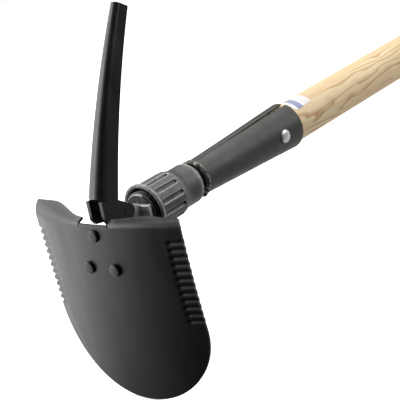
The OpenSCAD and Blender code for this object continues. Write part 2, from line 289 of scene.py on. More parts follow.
class Shell:
    """Points in millimetres and the faces between them."""

    def __init__(self):
        self.points = []
        self.faces = []

    def row(self, points):
        start = len(self.points)
        self.points.extend(points)
        return list(range(start, len(self.points)))

    def strip(self, a, b, closed=False):
        count = len(a) if closed else len(a) - 1
        for i in range(count):
            j = (i + 1) % len(a)
            self.faces.append((a[i], a[j], b[j], b[i]))

    def strips(self, rows, closed=False):
        for a, b in zip(rows, rows[1:]):
            self.strip(a, b, closed)

    def cap(self, row):
        self.faces.append(tuple(row))

    def fan(self, row, tip):
        """Closes a ring of points onto one point."""
        self.points.append(tip)
        last = len(self.points) - 1
        for i in range(len(row)):
            self.faces.append((row[i], row[(i + 1) % len(row)], last))

    def revolve(self, profile, count, dent=None):
        """Turns (x, r) pairs about the handle's axis; dent(x, r, angle) gives a changed radius."""
        rows = []
        for x, r in profile:
            ring = []
            for i in range(count):
                angle = 2 * pi * i / count
                reach = dent(x, r, angle) if dent else r
                ring.append((x, reach * sin(angle), reach * cos(angle)))
            rows.append(self.row(ring))
        self.strips(rows, closed=True)
        return rows


def piece(name, shell, material, body, replaces=(), closed=True):
    """Makes a shell into an object that rides on a body and stands for CAD nodes."""
    mesh = bpy.data.meshes.new(name)
    mesh.from_pydata([Vector(p) * MM for p in shell.points], [], shell.faces)
    solid = bmesh.new()
    solid.from_mesh(mesh)
    bmesh.ops.remove_doubles(solid, verts=solid.verts, dist=0.002 * MM)
    if closed:
        bmesh.ops.recalc_face_normals(solid, faces=solid.faces)
    solid.to_mesh(mesh)
    solid.free()
    mesh.shade_smooth()
    mesh.materials.append(material)
    made = bpy.data.objects.new(name, mesh)
    bpy.context.scene.collection.objects.link(made)
    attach(made, body)
    if replaces:
        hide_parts(*replaces)
    return made


def thicken(made, thickness):
    """Gives a sheet its thickness, behind the faces that it has."""
    skin = made.modifiers.new("thickness", "SOLIDIFY")
    skin.thickness = thickness * MM
    skin.offset = -1
    skin.use_even_offset = False


def soften(made, width, angle=40, segments=2):
    """Rounds the edges sharper than angle and keeps the flats flat."""
    bevel = made.modifiers.new("edges", "BEVEL")
    bevel.width = width * MM
    bevel.segments = segments
    bevel.limit_method = "ANGLE"
    bevel.angle_limit = radians(angle)
    bevel.use_clamp_overlap = True
    flats = made.modifiers.new("flats", "WEIGHTED_NORMAL")
    flats.keep_sharp = False


def face_towards(made, direction):
    """Turns an open sheet's faces so that they look towards direction."""
    mesh = made.data
    total = sum((poly.normal * poly.area for poly in mesh.polygons), Vector())
    if total.dot(Vector(direction)) < 0:
        mesh.flip_normals()


# ---- Materials ----

class Look:
    """A node material with short ways to add and join nodes."""

    def __init__(self, name):
        self.material = bpy.data.materials.new(name)
        self.material.use_nodes = True
        self.tree = self.material.node_tree
        self.shader = self.tree.nodes["Principled BSDF"]
        self.place = self.add("ShaderNodeTexCoord").outputs["Object"]

    def add(self, kind, **settings):
        made = self.tree.nodes.new(kind)
        for key, value in settings.items():
            setattr(made, key, value)
        return made

    def join(self, source, target):
        self.tree.links.new(source, target)

    def feed(self, target, value):
        """Sets a socket to a number or colour, or links it to another socket."""
        if isinstance(value, bpy.types.NodeSocket):
            self.join(value, target)
        else:
            target.default_value = value

    def stretch(self, scale, turn=(0, 0, 0)):
        """The object's own coordinates, scaled and turned."""
        made = self.add("ShaderNodeMapping")
        made.inputs["Scale"].default_value = scale
        made.inputs["Rotation"].default_value = turn
        self.join(self.place, made.inputs["Vector"])
        return made.outputs["Vector"]

    def noise(self, scale, detail=4, rough=0.55, place=None, warp=0):
        made = self.add("ShaderNodeTexNoise")
        made.inputs["Scale"].default_value = scale
        made.inputs["Detail"].default_value = detail
        made.inputs["Roughness"].default_value = rough
        made.inputs["Distortion"].default_value = warp
        self.join(place or self.place, made.inputs["Vector"])
        return made.outputs["Fac"]

    def ramp(self, value, *stops):
        """Maps a value through (position, grey or colour) stops."""
        made = self.add("ShaderNodeValToRGB")
        points = made.color_ramp.elements
        while len(points) < len(stops):
            points.new(0.5)
        for point, (position, colour) in zip(points, stops):
            shade = colour if isinstance(colour, tuple) else (colour,) * 3
            point.position = position
            point.color = (*shade, 1)
        self.join(value, made.inputs["Fac"])
        return made.outputs["Color"]

    def math(self, operation, a, b=0.0):
        made = self.add("ShaderNodeMath", operation=operation)
        self.feed(made.inputs[0], a)
        self.feed(made.inputs[1], b)
        return made.outputs[0]

    def blend(self, share, a, b, mode="MIX"):
        """Mixes two colours."""
        made = self.add("ShaderNodeMix", data_type="RGBA", blend_type=mode)
        self.feed(made.inputs["Factor"], share)
        for socket, value in ((made.inputs["A"], a), (made.inputs["B"], b)):
            colour = [s for s in made.inputs if s.name == socket.name and s.type == "RGBA"][0]
            self.feed(colour, (*value, 1) if isinstance(value, tuple) else value)
        return [s for s in made.outputs if s.type == "RGBA"][0]

    def parts(self):
        """The object's own coordinates as three separate values, in metres."""
        made = self.add("ShaderNodeSeparateXYZ")
        self.join(self.place, made.inputs[0])
        return made.outputs["X"], made.outputs["Y"], made.outputs["Z"]

    def pointiness(self):
        return self.add("ShaderNodeNewGeometry").outputs["Pointiness"]

    def edges(self, low, high):
        """1 on sharp edges and 0 on flats, broken up by noise: worn edges, which on the collar and the
        thread also stand for painted highlights.
        """
        sharp = self.ramp(self.pointiness(), (low, 0.0), (high, 1.0))
        patchy = self.ramp(self.noise(700, 3), (0.40, 0.25), (0.62, 1.0))
        return self.math("MULTIPLY", sharp, patchy)

    def bump(self, height, strength, distance):
        made = self.add("ShaderNodeBump")
        made.inputs["Strength"].default_value = strength
        made.inputs["Distance"].default_value = distance * MM
        self.join(height, made.inputs["Height"])
        self.join(made.outputs["Normal"], self.shader.inputs["Normal"])

    def finish(self, colour, roughness, metallic=0.0):
        self.feed(self.shader.inputs["Base Color"], (*colour, 1) if isinstance(colour, tuple) else colour)
        self.feed(self.shader.inputs["Roughness"], roughness)
        self.feed(self.shader.inputs["Metallic"], metallic)
        return self.material


def satin_black():
    look = Look("satin_black_enamel")
    cloud = look.ramp(look.noise(18, 5), (0.35, (0.005, 0.0054, 0.006)), (0.7, (0.010, 0.0104, 0.011)))
    worn = look.edges(0.53, 0.60)
    colour = look.blend(worn, cloud, (0.05, 0.05, 0.05))
    streaks = look.noise(60, 6, place=look.stretch((1, 1, 0.25)))
    roughness = look.ramp(streaks, (0.35, 0.33), (0.65, 0.43))
    look.bump(look.noise(900, 3), 0.10, 0.05)
    look.shader.inputs["Specular IOR Level"].default_value = 0.5
    return look.finish(colour, roughness)


def grey_paint():
    look = Look("dark_grey_paint")
    cloud = look.ramp(look.noise(30, 6), (0.3, (0.031, 0.032, 0.028)), (0.72, (0.052, 0.052, 0.046)))
    scuffs = look.ramp(look.noise(95, 8, 0.7, look.stretch((0.35, 1, 1)), 0.6), (0.66, 0.0), (0.72, 1.0))
    scuffed = look.blend(look.math("MULTIPLY", scuffs, 0.55), cloud, (0.20, 0.20, 0.19))
    colour = look.blend(look.edges(0.54, 0.62), scuffed, (0.24, 0.24, 0.23))
    roughness = look.ramp(look.noise(120, 5), (0.3, 0.46), (0.7, 0.62))
    look.bump(look.noise(420, 6), 0.22, 0.10)
    return look.finish(colour, roughness)


def collar_phosphate():
    look = Look("grey_phosphate")
    cloud = look.ramp(look.noise(90, 7, 0.65), (0.3, (0.040, 0.040, 0.038)), (0.7, (0.102, 0.102, 0.097)))
    # Painted shade: the grooves' hollows, found by low pointiness, are darkened to near black.
    painted_groove_shade = look.ramp(look.pointiness(), (0.44, 1.0), (0.475, 0.0))
    shaded_in_grooves = look.blend(painted_groove_shade, cloud, (0.03, 0.03, 0.029))
    # Painted highlight and wear: the groove edges, found by high pointiness, are lightened, partly as
    # rubbed metal and partly as light catching them.
    colour = look.blend(look.edges(0.503, 0.525), shaded_in_grooves, (0.42, 0.42, 0.40))
    roughness = look.ramp(look.noise(200, 4), (0.3, 0.42), (0.7, 0.60))
    look.bump(look.noise(800, 5), 0.25, 0.08)
    return look.finish(colour, roughness)


def bare_steel():
    look = Look("bare_worn_steel")
    mottle = look.ramp(look.noise(170, 8, 0.65, warp=0.8), (0.36, (0.03, 0.03, 0.028)),
                       (0.50, (0.20, 0.197, 0.185)), (0.64, (0.62, 0.61, 0.585)))
    colour = look.blend(look.edges(0.52, 0.57), mottle, (0.85, 0.84, 0.82))
    roughness = look.ramp(look.noise(260, 6), (0.35, 0.26), (0.65, 0.55))
    look.bump(look.noise(330, 7), 0.35, 0.15)
    return look.finish(colour, roughness, 0.5)


def dark_thread():
    look = Look("thread_painted_shade")
    # Painted shade: the thread is made near black with mottled noise, standing in for the shade inside the
    # collar's mouth.
    thread_mouth_shade = look.ramp(look.noise(300, 7, 0.65), (0.40, (0.012, 0.012, 0.011)), (0.62, (0.07, 0.068, 0.064)))
    # Painted highlight and wear: the thread's crests, found by high pointiness, are lightened, partly as
    # worn metal and partly as light catching them.
    colour = look.blend(look.edges(0.53, 0.58), thread_mouth_shade, (0.62, 0.61, 0.59))
    look.bump(look.noise(420, 6), 0.4, 0.15)
    return look.finish(colour, 0.62, 0.2)


def weld_metal():
    look = Look("weld_metal")
    slag = look.ramp(look.noise(210, 7, 0.6, warp=1.0), (0.40, (0.035, 0.033, 0.030)),
                     (0.54, (0.16, 0.15, 0.14)), (0.68, (0.60, 0.57, 0.52)))
    roughness = look.ramp(look.noise(300, 5), (0.35, 0.25), (0.65, 0.55))
    look.bump(look.noise(520, 6), 0.5, 0.2)
    return look.finish(slag, roughness, 0.35)


def zinc():
    look = Look("dull_zinc")
    cloud = look.ramp(look.noise(260, 6), (0.35, (0.66, 0.66, 0.66)), (0.65, (0.86, 0.86, 0.85)))
    spots = look.ramp(look.noise(900, 4), (0.62, 0.0), (0.70, 1.0))
    colour = look.blend(look.math("MULTIPLY", spots, 0.5), cloud, (0.16, 0.15, 0.14))
    roughness = look.ramp(look.noise(400, 5), (0.3, 0.28), (0.7, 0.46))
    look.bump(look.noise(600, 5), 0.2, 0.08)
    return look.finish(colour, roughness, 0.45)


def ash_wood():
    look = Look("ash_wood")
    # Growth rings about a pith that lies outside the handle and wanders along it.
    wander = look.add("ShaderNodeTexNoise")
    wander.inputs["Scale"].default_value = 1.0
    wander.inputs["Detail"].default_value = 3
    look.join(look.stretch((6, 34, 34)), wander.inputs["Vector"])
    x, y, z = look.parts()
    sway = look.math("MULTIPLY", look.math("SUBTRACT", wander.outputs["Fac"], 0.5), GRAIN_SWAY * MM)
    tilt = look.math("MULTIPLY", x, GRAIN_TILT)
    across = look.math("SUBTRACT", look.math("ADD", y, sway), PITH_Y * MM)
    depth = look.math("ADD", z, look.math("ADD", tilt, -PITH_Z * MM))
    radius = look.math("SQRT", look.math("ADD", look.math("MULTIPLY", across, across),
                                         look.math("MULTIPLY", depth, depth)))
    phase = look.math("FRACT", look.math("MULTIPLY", radius, RINGS_PER_M))
    rings = look.ramp(phase, (0.0, 0.0), (0.55, 0.08), (0.82, 0.65), (0.92, 1.0), (1.0, 0.05))
    fibre = look.noise(1, 6, 0.7, look.stretch((28, 1100, 1100)))
    pores = look.ramp(look.noise(1, 3, 0.6, look.stretch((75, 1900, 1900))), (0.56, 0.0), (0.66, 1.0))
    tone = look.noise(1, 3, 0.5, look.stretch((6, 50, 50)))
    pale = look.ramp(tone, (0.3, (0.76, 0.58, 0.35)), (0.7, (0.84, 0.71, 0.46)))
    banded = look.blend(look.math("MULTIPLY", rings, 0.85), pale, (0.47, 0.225, 0.08))
    fibred = look.blend(look.ramp(fibre, (0.35, 0.34), (0.65, 0.0)), banded, (0.58, 0.38, 0.19))
    dark_pores = look.math("MULTIPLY", pores, look.ramp(rings, (0.15, 0.10), (0.9, 0.62)))
    colour = look.blend(dark_pores, fibred, (0.25, 0.125, 0.05))
    roughness = look.ramp(fibre, (0.3, 0.42), (0.7, 0.60))
    look.bump(look.math("SUBTRACT", fibre, look.math("MULTIPLY", pores, 0.8)), 0.30, 0.15)
    look.shader.inputs["Specular IOR Level"].default_value = 0.35
    return look.finish(colour, roughness)


def label_print():
    """A white sticker with plain printed bands."""
    look = Look("label_print")
    x = look.parts()[0]
    along = look.math("DIVIDE", look.math("SUBTRACT", x, LABEL_START * MM), LABEL_LEN * MM)
    panel = look.ramp(along, (0.0, 0.0), (0.16, 0.0), (0.17, 1.0), (0.46, 1.0), (0.47, 0.0))
    rules = look.math("GREATER_THAN", look.math("FRACT", look.math("MULTIPLY", along, 9)), 0.62)
    ruled = look.math("MULTIPLY", rules, look.math("GREATER_THAN", along, 0.55))
    paper = look.ramp(look.noise(200, 4), (0.3, (0.86, 0.86, 0.85)), (0.7, (0.93, 0.93, 0.92)))
    inked = look.blend(look.math("MULTIPLY", panel, 0.85), paper, (0.20, 0.23, 0.42))
    colour = look.blend(look.math("MULTIPLY", ruled, 0.6), inked, (0.55, 0.30, 0.27))
    look.bump(look.noise(700, 3), 0.1, 0.03)
    return look.finish(colour, 0.32)


# ---- Blade ----

def bow(y, z):
    """How far the blade's front lies behind its foremost point."""
    return BOW_R - sqrt(BOW_R ** 2 - y * y) + (z - SWEEP_Z) ** 2 / (2 * SWEEP_R)


def nearest_rib(z):
    """Height of the pressed rib nearest to z."""
    index = min(RIBS - 1, max(0, floor((RIB_START - z) / RIB_STEP)))
    return RIB_START - (index + 0.5) * RIB_STEP


def half_width(z):
    """The blade's half width at z, without its scallops."""
    if z >= SIDE_Z:
        return BLADE_HALF
    drop = (SIDE_Z - z) / (SIDE_Z - BLADE_TIP_Z)
    return BLADE_HALF * sqrt(max(0.0, 1 - drop * drop))


def scalloped(z):
    """The blade's half width at z, with its scallops."""
    off = abs(z - nearest_rib(z))
    bite = sqrt(SCALLOP_R ** 2 - off * off) - (SCALLOP_R - SCALLOP) if off < SCALLOP_R else 0
    return half_width(z) - max(0.0, bite)


def rib_dent(y, z):
    """Depth of the pressed rib at a point: a round-ended trough that runs out at the edge."""
    inner = half_width(z) - RIB_LEN + RIB_HALF_W
    off = hypot(max(0.0, inner - abs(y)), z - nearest_rib(z))
    return RIB_DEPTH * smooth(1 - off / RIB_HALF_W) if off < RIB_HALF_W else 0.0


def blade_front(y, z):
    return (SHEET_FRONT + bow(y, z) + rib_dent(y, z), y, z)


def blade_columns():
    """Shares of the half width, closer together where the ribs are."""
    rib_share = 1 - (RIB_LEN + RIB_MARGIN) / BLADE_HALF
    inner = steps(0, NOTCH_HALF / BLADE_HALF, NOTCH_COLUMNS)
    middle = steps((NOTCH_HALF + NOTCH_RELIEF) / BLADE_HALF, rib_share, PLAIN_COLUMNS)
    outer = steps(rib_share, 1, RIB_COLUMNS)[1:]
    right = inner + middle + outer
    return [-share for share in reversed(right[1:])] + right


def step_rise(y):
    """The step rises less on the -Y shoulder than on the +Y one."""
    share = smooth((abs(y) - NOTCH_HALF) / (BLADE_HALF - NOTCH_HALF))
    return mix(STEP_RISE, STEP_RISE_RIGHT, share) if y < 0 else STEP_RISE


def step_corner(y):
    """Where the planes of the front and the step would meet, as [x behind the front, z]."""
    back = BOW_R - sqrt(BOW_R ** 2 - y * y)
    return back, STEP_Z + back * tan(step_rise(y))


def bend_radius(y):
    """The bend into the step is tight beside the notch and wide at the shoulders."""
    widest = SHOULDER_BEND_R if y > 0 else SHOULDER_BEND_R / 2
    return mix(STEP_BEND_R, widest, smooth((abs(y) - NOTCH_HALF) / (BLADE_HALF - NOTCH_HALF)))


def step_start(y):
    """Height at which the bend into the step starts."""
    tangent = bend_radius(y) * tan((pi / 2 - step_rise(y)) / 2)
    return step_corner(y if abs(y) > NOTCH_HALF else NOTCH_HALF)[1] - tangent


def step_length(y):
    share = smooth((abs(y) - NOTCH_HALF) / STEP_GROWTH)
    return mix(STEP_ROOT, STEP_DEPTH if y > 0 else RIGHT_DEPTH, share) - step_corner(y)[0]


def step_profile(y):
    """Points round the bend and back along the step at y, without the first."""
    rise = step_rise(y)
    turn = pi / 2 - rise
    radius = bend_radius(y)
    tangent = radius * tan(turn / 2)
    back, corner_z = step_corner(y)
    start_z = corner_z - tangent
    # The front leans slightly, so the bend starts from its true place.
    lean = bow(y, start_z) - back
    bend = []
    for angle in steps(0, turn, BEND_ROWS)[1:]:
        share = 1 - angle / turn
        bend.append((back + lean * share + radius * (1 - cos(angle)),
                     start_z + radius * sin(angle)))
    length = max(step_length(y), tangent + 1)
    flat = [(back + along * cos(rise), corner_z + along * sin(rise))
            for along in steps(tangent, length, STEP_ROWS)[1:]]
    return bend, flat, length - tangent


def step_row(columns, index):
    """One row of the step: its outer corners are rounded, +Y flared and -Y drawn in."""
    points = []
    for share in columns:
        y = share * BLADE_HALF
        bend, flat, flat_len = step_profile(y)
        corner_r = min(CORNER_R, flat_len)
        x, z = (bend + flat)[index]
        along = max(0, index - len(bend) + 1) / len(flat) * flat_len
        over = max(0.0, along - (flat_len - corner_r))
        limit = BLADE_HALF - corner_r + sqrt(max(0.0, corner_r ** 2 - over ** 2))
        limit += (SHOULDER_FLARE if y > 0 else -SHOULDER_TRIM) * smooth(index / SHOULDER_ROWS)
        side = mix(NOTCH_HALF, limit, (abs(y) - NOTCH_HALF) / (BLADE_HALF - NOTCH_HALF))
        points.append((SHEET_FRONT + x, side if y > 0 else -side, z))
    return points


def blade(material):
    shell = Shell()
    columns = blade_columns()
    rib_end = RIB_START - RIBS * RIB_STEP
    ribbed = steps(RIB_START + RIB_MARGIN, rib_end, ROWS_PER_RIB * RIBS + 3)
    last_angle = atan2(SIDE_Z - rib_end, half_width(rib_end))
    nose = [mix(SIDE_Z, BLADE_TIP_Z, sin(a)) for a in steps(last_angle, pi / 2, NOSE_ROWS)[1:]]
    nose = [z for z in nose if z < rib_end - 0.3]
    upper = steps(0, 1, UPPER_ROWS)[:-1]

    rows = [[blade_front(u * BLADE_HALF, mix(step_start(u * BLADE_HALF), ribbed[0], k)) for u in columns]
            for k in upper]
    rows += [[blade_front(u * scalloped(z), z) for u in columns] for z in ribbed + nose[:-1]]
    made = [shell.row(points) for points in rows]
    shell.strips(made)
    tip = shell.row([blade_front(0, BLADE_TIP_Z)])[0]
    for a, b in zip(made[-1], made[-1][1:]):
        shell.faces.append((a, b, tip))

    notch = [i for i, u in enumerate(columns) if abs(u) * BLADE_HALF <= NOTCH_HALF + 1e-6]
    first, last = notch[0], notch[-1]
    top = made[0][first:last + 1]
    for z in steps(step_start(0), STEP_Z, NOTCH_ROWS)[1:]:
        row = shell.row([blade_front(columns[i] * BLADE_HALF, z) for i in notch])
        shell.strip(row, top)
        top = row
    for part in (slice(0, first), slice(last + 1, len(columns))):
        bend, flat, _ = step_profile(BLADE_HALF / 2)
        top = made[0][part]
        for index in range(len(bend) + len(flat)):
            row = shell.row(step_row(columns[part], index))
            shell.strip(row, top)
            top = row

    made_blade = piece("shovel_blade", shell, material, "shovel", ["blade"], closed=False)
    fix_normals(made_blade, (-1, 0, 0.2))
    thicken(made_blade, SHEET_T)
    soften(made_blade, 0.45, 50)
    return made_blade


def fix_normals(made, direction):
    """Makes an open sheet's faces agree, then turns them towards direction."""
    solid = bmesh.new()
    solid.from_mesh(made.data)
    bmesh.ops.recalc_face_normals(solid, faces=solid.faces)
    solid.to_mesh(made.data)
    solid.free()
    face_towards(made, direction)


def button(shell, y, z, front, head_r, head_h, tail_x, tail_r):
    """A rivet along X: a flat button head in front, its shank, and its closed head behind."""
    edge = RIVET_EDGE
    profile = [(front + 0.15, 0.6 * head_r), (front + 0.25, head_r - edge - 0.5)]
    profile += [(front + 0.3 + edge * (1 - sin(a)), head_r - edge + edge * cos(a))
                for a in steps(pi / 2, 0, 5)]
    profile += [(front + head_h + 0.4, head_r + 0.12), (front + head_h + 0.4, tail_r * 0.6),
                (tail_x, tail_r * 0.6), (tail_x, tail_r)]
    profile += [(tail_x + RIVET_TAIL_H * sin(a), tail_r - RIVET_TAIL_H * (1 - cos(a)))
                for a in steps(0.3, pi / 2, 4)]
    turns = [2 * pi * i / RIVET_SIDES for i in range(RIVET_SIDES)]
    rows = []
    for x, r in profile:
        ring = [(x, y + r * sin(turn), z + r * cos(turn)) for turn in turns]
        rows.append(shell.row(ring))
    shell.strips(rows, closed=True)
    shell.fan(rows[0], (front, y, z))
    shell.fan(rows[-1], (tail_x + RIVET_TAIL_H + 0.15, y, z))


def blade_rivets(material):
    shell = Shell()
    for y, z in RIVETS:
        near = SHEET_FRONT + bow(max(0, abs(y) - RIVET_HEAD_R), z)
        far = SHEET_FRONT + bow(abs(y) + RIVET_HEAD_R, z) + SHEET_T + BACKING
        button(shell, y, z, near - RIVET_HEAD_H, RIVET_HEAD_R, RIVET_HEAD_H, far, RIVET_TAIL_R)
    made = piece("blade_button_rivets", shell, material, "shovel", ["blade_rivets"])
    soften(made, 0.12, 60, 1)
    return made


# ---- Pick ----

def pick_angle(share):
    return PICK_LEAN + share * PICK_LEN / PICK_CURVE_R


def pick_mid(share):
    angle = pick_angle(share)
    return ROOT + PICK_CURVE_R * Vector((cos(PICK_LEAN) - cos(angle), 0, sin(angle) - sin(PICK_LEAN)))


def pick_point(share, across, back):
    """A point of the channel's section: across is Y, back is away from the web."""
    angle = pick_angle(share)
    return pick_mid(share) + Vector((back * cos(angle), across, -back * sin(angle)))


def half_section(half_w, half_d, corner):
    """Rear edge to the middle of the web, as (across, back) pairs."""
    wall = [(half_w, back) for back in steps(half_d, corner - half_d, WALL_POINTS)]
    bend = [(half_w - corner * (1 - cos(a)), corner - half_d - corner * sin(a))
            for a in steps(0, pi / 2, CORNER_POINTS)[1:]]
    web = [(across, -half_d) for across in steps(half_w - corner, 0, WEB_POINTS)[1:]]
    return wall + bend + web


def channel_paths(share):
    """Outer and inner paths of the channel's section, from one rear edge to the other."""
    half_w = mix(ROOT_W, TIP_W, share) / 2
    half_d = mix(ROOT_DEPTH, TIP_DEPTH, share) / 2
    outer = half_section(half_w, half_d, mix(ROOT_CORNER_R, TIP_CORNER_R, share))
    inner = half_section(half_w - PICK_WALL, half_d, mix(ROOT_INNER_R, TIP_INNER_R, share))
    shift = PICK_WALL / (2 * half_d)
    inner = [(across, half_d - (half_d - back) * (1 - shift)) for across, back in inner]
    paths = []
    for path in (outer, inner):
        mirrored = [(-across, back) for across, back in reversed(path[:-1])]
        paths.append([pick_point(share, across, back) for across, back in path + mirrored])
    return paths


def even_path(points, count):
    """count + 1 points evenly spaced along a line of points."""
    lengths = [0.0]
    for a, b in zip(points, points[1:]):
        lengths.append(lengths[-1] + (b - a).length)
    even = []
    for target in steps(0, lengths[-1], count):
        index = max(i for i, reach in enumerate(lengths[:-1]) if reach <= target + 1e-9)
        share = (target - lengths[index]) / (lengths[index + 1] - lengths[index])
        even.append(points[index].lerp(points[index + 1], share))
    return even


def ear_edges(rows):
    """Front and back edges of a hinge ear, from the channel's root down round the eye."""
    eye = Vector((HINGE_X, 0, PICK_PIN_Z))
    corner = ROOT_DEPTH / 2 - 0.4

    def round_eye(first, last):
        return [eye + PICK_EYE_R * Vector((cos(a), 0, sin(a))) for a in steps(first, last, EYE_POINTS)]

    front_top = pick_point(0, 0, -corner)
    front = [front_top, Vector((front_top.x - EAR_TOE_OUT, 0, PICK_PIN_Z + EAR_TOE_TOP)),
             Vector((front_top.x + EAR_TOE_IN, 0, PICK_PIN_Z - EAR_TOE_LOW))]
    # The two edges run round the eye and end just short of each other under it.
    front += round_eye(radians(232), radians(269))
    back = [pick_point(0, 0, ROOT_DEPTH / 2)] + round_eye(radians(28), radians(-89))
    return even_path(front, rows), even_path(back, rows)


def hinge_ear(shell, outer_row, inner_row, side):
    """Carries one wall of the channel down to its eye."""
    out_y = side * ROOT_W / 2
    in_y = side * (ROOT_W / 2 - PICK_WALL)
    front, back = ear_edges(EAR_ROWS)
    loop = outer_row + inner_row[::-1]
    for i in range(1, EAR_ROWS + 1):
        line = [back[i].lerp(front[i], j / WALL_POINTS) for j in range(WALL_POINTS + 1)]
        points = [(p.x, out_y, p.z) for p in line] + [(p.x, in_y, p.z) for p in reversed(line)]
        row = shell.row(points)
        shell.strip(loop, row, closed=True)
        loop = row
    shell.cap(loop)


def pick(material):
    shell = Shell()
    hollow_end = 1 - TIP_SOLID / PICK_LEN
    shares = steps(0, hollow_end, PICK_ROWS)
    rows = []
    for share in shares:
        outer, inner = channel_paths(share)
        rows.append((shell.row(outer), shell.row(inner)))
    shell.strips([outer + inner[::-1] for outer, inner in rows], closed=True)

    # The channel's hollow ends in a wall, and the tip beyond it is solid.
    outer, inner = rows[-1]
    shell.cap(inner)
    loop = outer + [inner[-1], inner[0]]
    for share in steps(hollow_end, 1, TIP_ROWS)[1:]:
        path, hidden = channel_paths(share)
        row = shell.row(path + [hidden[-1], hidden[0]])
        shell.strip(loop, row, closed=True)
        loop = row
    shell.cap(loop)

    # At the root the web is cut off square and the two walls run on as hinge ears.
    outer, inner = rows[0]
    shell.strip(outer[WALL_POINTS:-WALL_POINTS], inner[WALL_POINTS:-WALL_POINTS])
    ends = WALL_POINTS + 1
    hinge_ear(shell, outer[:ends], inner[:ends], 1)
    hinge_ear(shell, outer[:-ends - 1:-1], inner[:-ends - 1:-1], -1)
    made = piece("pick_channel", shell, material, "pick", ["pick"])
    soften(made, 0.5, 42)
    return made


# ---- Collar, yoke, ferrule and handle ----

def groove_dent(x, r, angle):
    """Radius of the collar's outside with its grip grooves."""
    front = COLLAR_FRONT + RIM_LEN + 1.4
    back = COLLAR_FRONT + GRIP_LEN - 0.4
    if r < SLEEVE_R + 0.5 or not front <= x <= back:
        return r
    turn = angle * GROOVES / (2 * pi)
    across = (abs(turn % 1 - 0.5)) * 2 * pi * GRIP_R / GROOVES
    half = GROOVE_W / 2
    past = max(0.0, front + half - x, x - (back - half))
    off = hypot(across, past)
    return r - GROOVE_DEPTH * smooth((half - off) / (GROOVE_SLOPE * half))


def collar(material):
    shell = Shell()
    grip_back = COLLAR_FRONT + GRIP_LEN
    profile = [(COLLAR_FRONT + RECESS_LEN + RECESS_LEAD, BORE_R),
               (COLLAR_FRONT + RECESS_LEN, RECESS_R),
               (COLLAR_FRONT + RECESS_CHAMFER, RECESS_R), (COLLAR_FRONT, RECESS_R + RECESS_CHAMFER)]
    profile += [(COLLAR_FRONT + RIM_ROUND * (1 - cos(a)), RIM_R - RIM_ROUND + RIM_ROUND * sin(a))
                for a in steps(0, pi / 2, 4)]
    profile += [(COLLAR_FRONT + RIM_LEN - 0.5, RIM_R), (COLLAR_FRONT + RIM_LEN, RIM_R - 0.3),
                (COLLAR_FRONT + RIM_LEN + 0.6, GRIP_R + 0.2), (COLLAR_FRONT + RIM_LEN + 1.2, GRIP_R)]
    profile += [(x, GRIP_R) for x in steps(COLLAR_FRONT + RIM_LEN + 1.5, grip_back - 0.4, 52)]
    profile += [(grip_back + share * TAPER_LEN, mix(GRIP_R, SLEEVE_R, smooth(share)) + 0.05)
                for share in steps(0, 1, 10)]
    profile += [(x, SLEEVE_R) for x in steps(grip_back + TAPER_LEN + 1, COLLAR_BACK - 1.2, 5)]
    profile += [(COLLAR_BACK - 0.3, SLEEVE_R - 0.3), (COLLAR_BACK, SLEEVE_R - 0.9), (COLLAR_BACK, BORE_R)]
    rows = shell.revolve(profile, GROOVES * GROOVE_SIDES, groove_dent)
    shell.strip(rows[-1], rows[0], closed=True)
    return piece("locking_collar_grip", shell, material, "locking_collar", ["collar"])


def thread_dent(x, r, angle):
    """Radius of the yoke's barrel with its right-handed thread."""
    if r < THREAD_R - 1e-6:
        return r
    turn = ((x - THREAD_FRONT) / PITCH - angle / (2 * pi)) % 1
    rise = 1 - smooth((abs(turn - 0.5) - 0.14) / 0.24)
    fade = smooth((x - THREAD_FRONT) / THREAD_RUN_IN)
    return THREAD_R - THREAD_H * (1 - rise * fade)


def extruded(shell, outline, half_width_at):
    """A plate across Y drawn as (x, z) pairs; half_width_at(x) is its half width there."""
    near = shell.row([(x, -half_width_at(x), z) for x, z in outline])
    far = shell.row([(x, half_width_at(x), z) for x, z in outline])
    shell.strip(near, far, closed=True)
    shell.cap(near)
    shell.cap(far)


def yoke(material, thread_material):
    shell = Shell()
    tail_end = THROAT_X + YOKE_TAIL
    thread_back = THREAD_FRONT + THREAD_LEN
    root_r = THREAD_R - THREAD_H
    profile = [(THREAD_FRONT - 0.3, root_r - 1.2), (THREAD_FRONT - 0.2, root_r - 0.4)]
    profile += [(x, THREAD_R) for x in steps(THREAD_FRONT, thread_back, ceil(THREAD_LEN / THREAD_ROW))]
    profile += [(thread_back + 0.4, NECK_R), (THROAT_X, NECK_R), (tail_end, NECK_R)]
    rows = shell.revolve(profile, YOKE_SIDES, thread_dent)
    shell.fan(rows[0], (THREAD_FRONT - 0.4, 0, 0))
    shell.fan(rows[-1], (tail_end, 0, 0))
    barrel = len(shell.faces)

    # The flat shoulder block, with its corners chamfered.
    block = [(BLOCK_FRONT, -BLOCK_HALF_T), (THREAD_FRONT + 1, -BLOCK_HALF_T),
             (THREAD_FRONT + 1, BLOCK_HALF_T), (BLOCK_FRONT, BLOCK_HALF_T)]
    extruded(shell, block, lambda x: BLOCK_HALF_W - (BLOCK_CHAMFER if x > THREAD_FRONT else 0))

    # The tongue, one plate round both hinge pins.
    round_pins = []
    for centre_z, first, last in ((PICK_PIN_Z, TONGUE_OPEN, pi), (BLADE_PIN_Z, pi, 2 * pi - TONGUE_OPEN)):
        round_pins += [(HINGE_X + PICK_EYE_R * cos(a), centre_z + PICK_EYE_R * sin(a))
                       for a in steps(first, last, 14)]
    tongue = round_pins + [(BLOCK_FRONT + 0.5, -BLOCK_HALF_T), (BLOCK_FRONT + 0.5, BLOCK_HALF_T)]
    extruded(shell, tongue, lambda x: TONGUE_HALF)
    made = piece("yoke_forging", shell, material, "shaft", ["yoke"])
    made.data.materials.append(thread_material)
    for poly in list(made.data.polygons)[:barrel]:
        poly.material_index = 1
    soften(made, 0.4, 55)
    return made


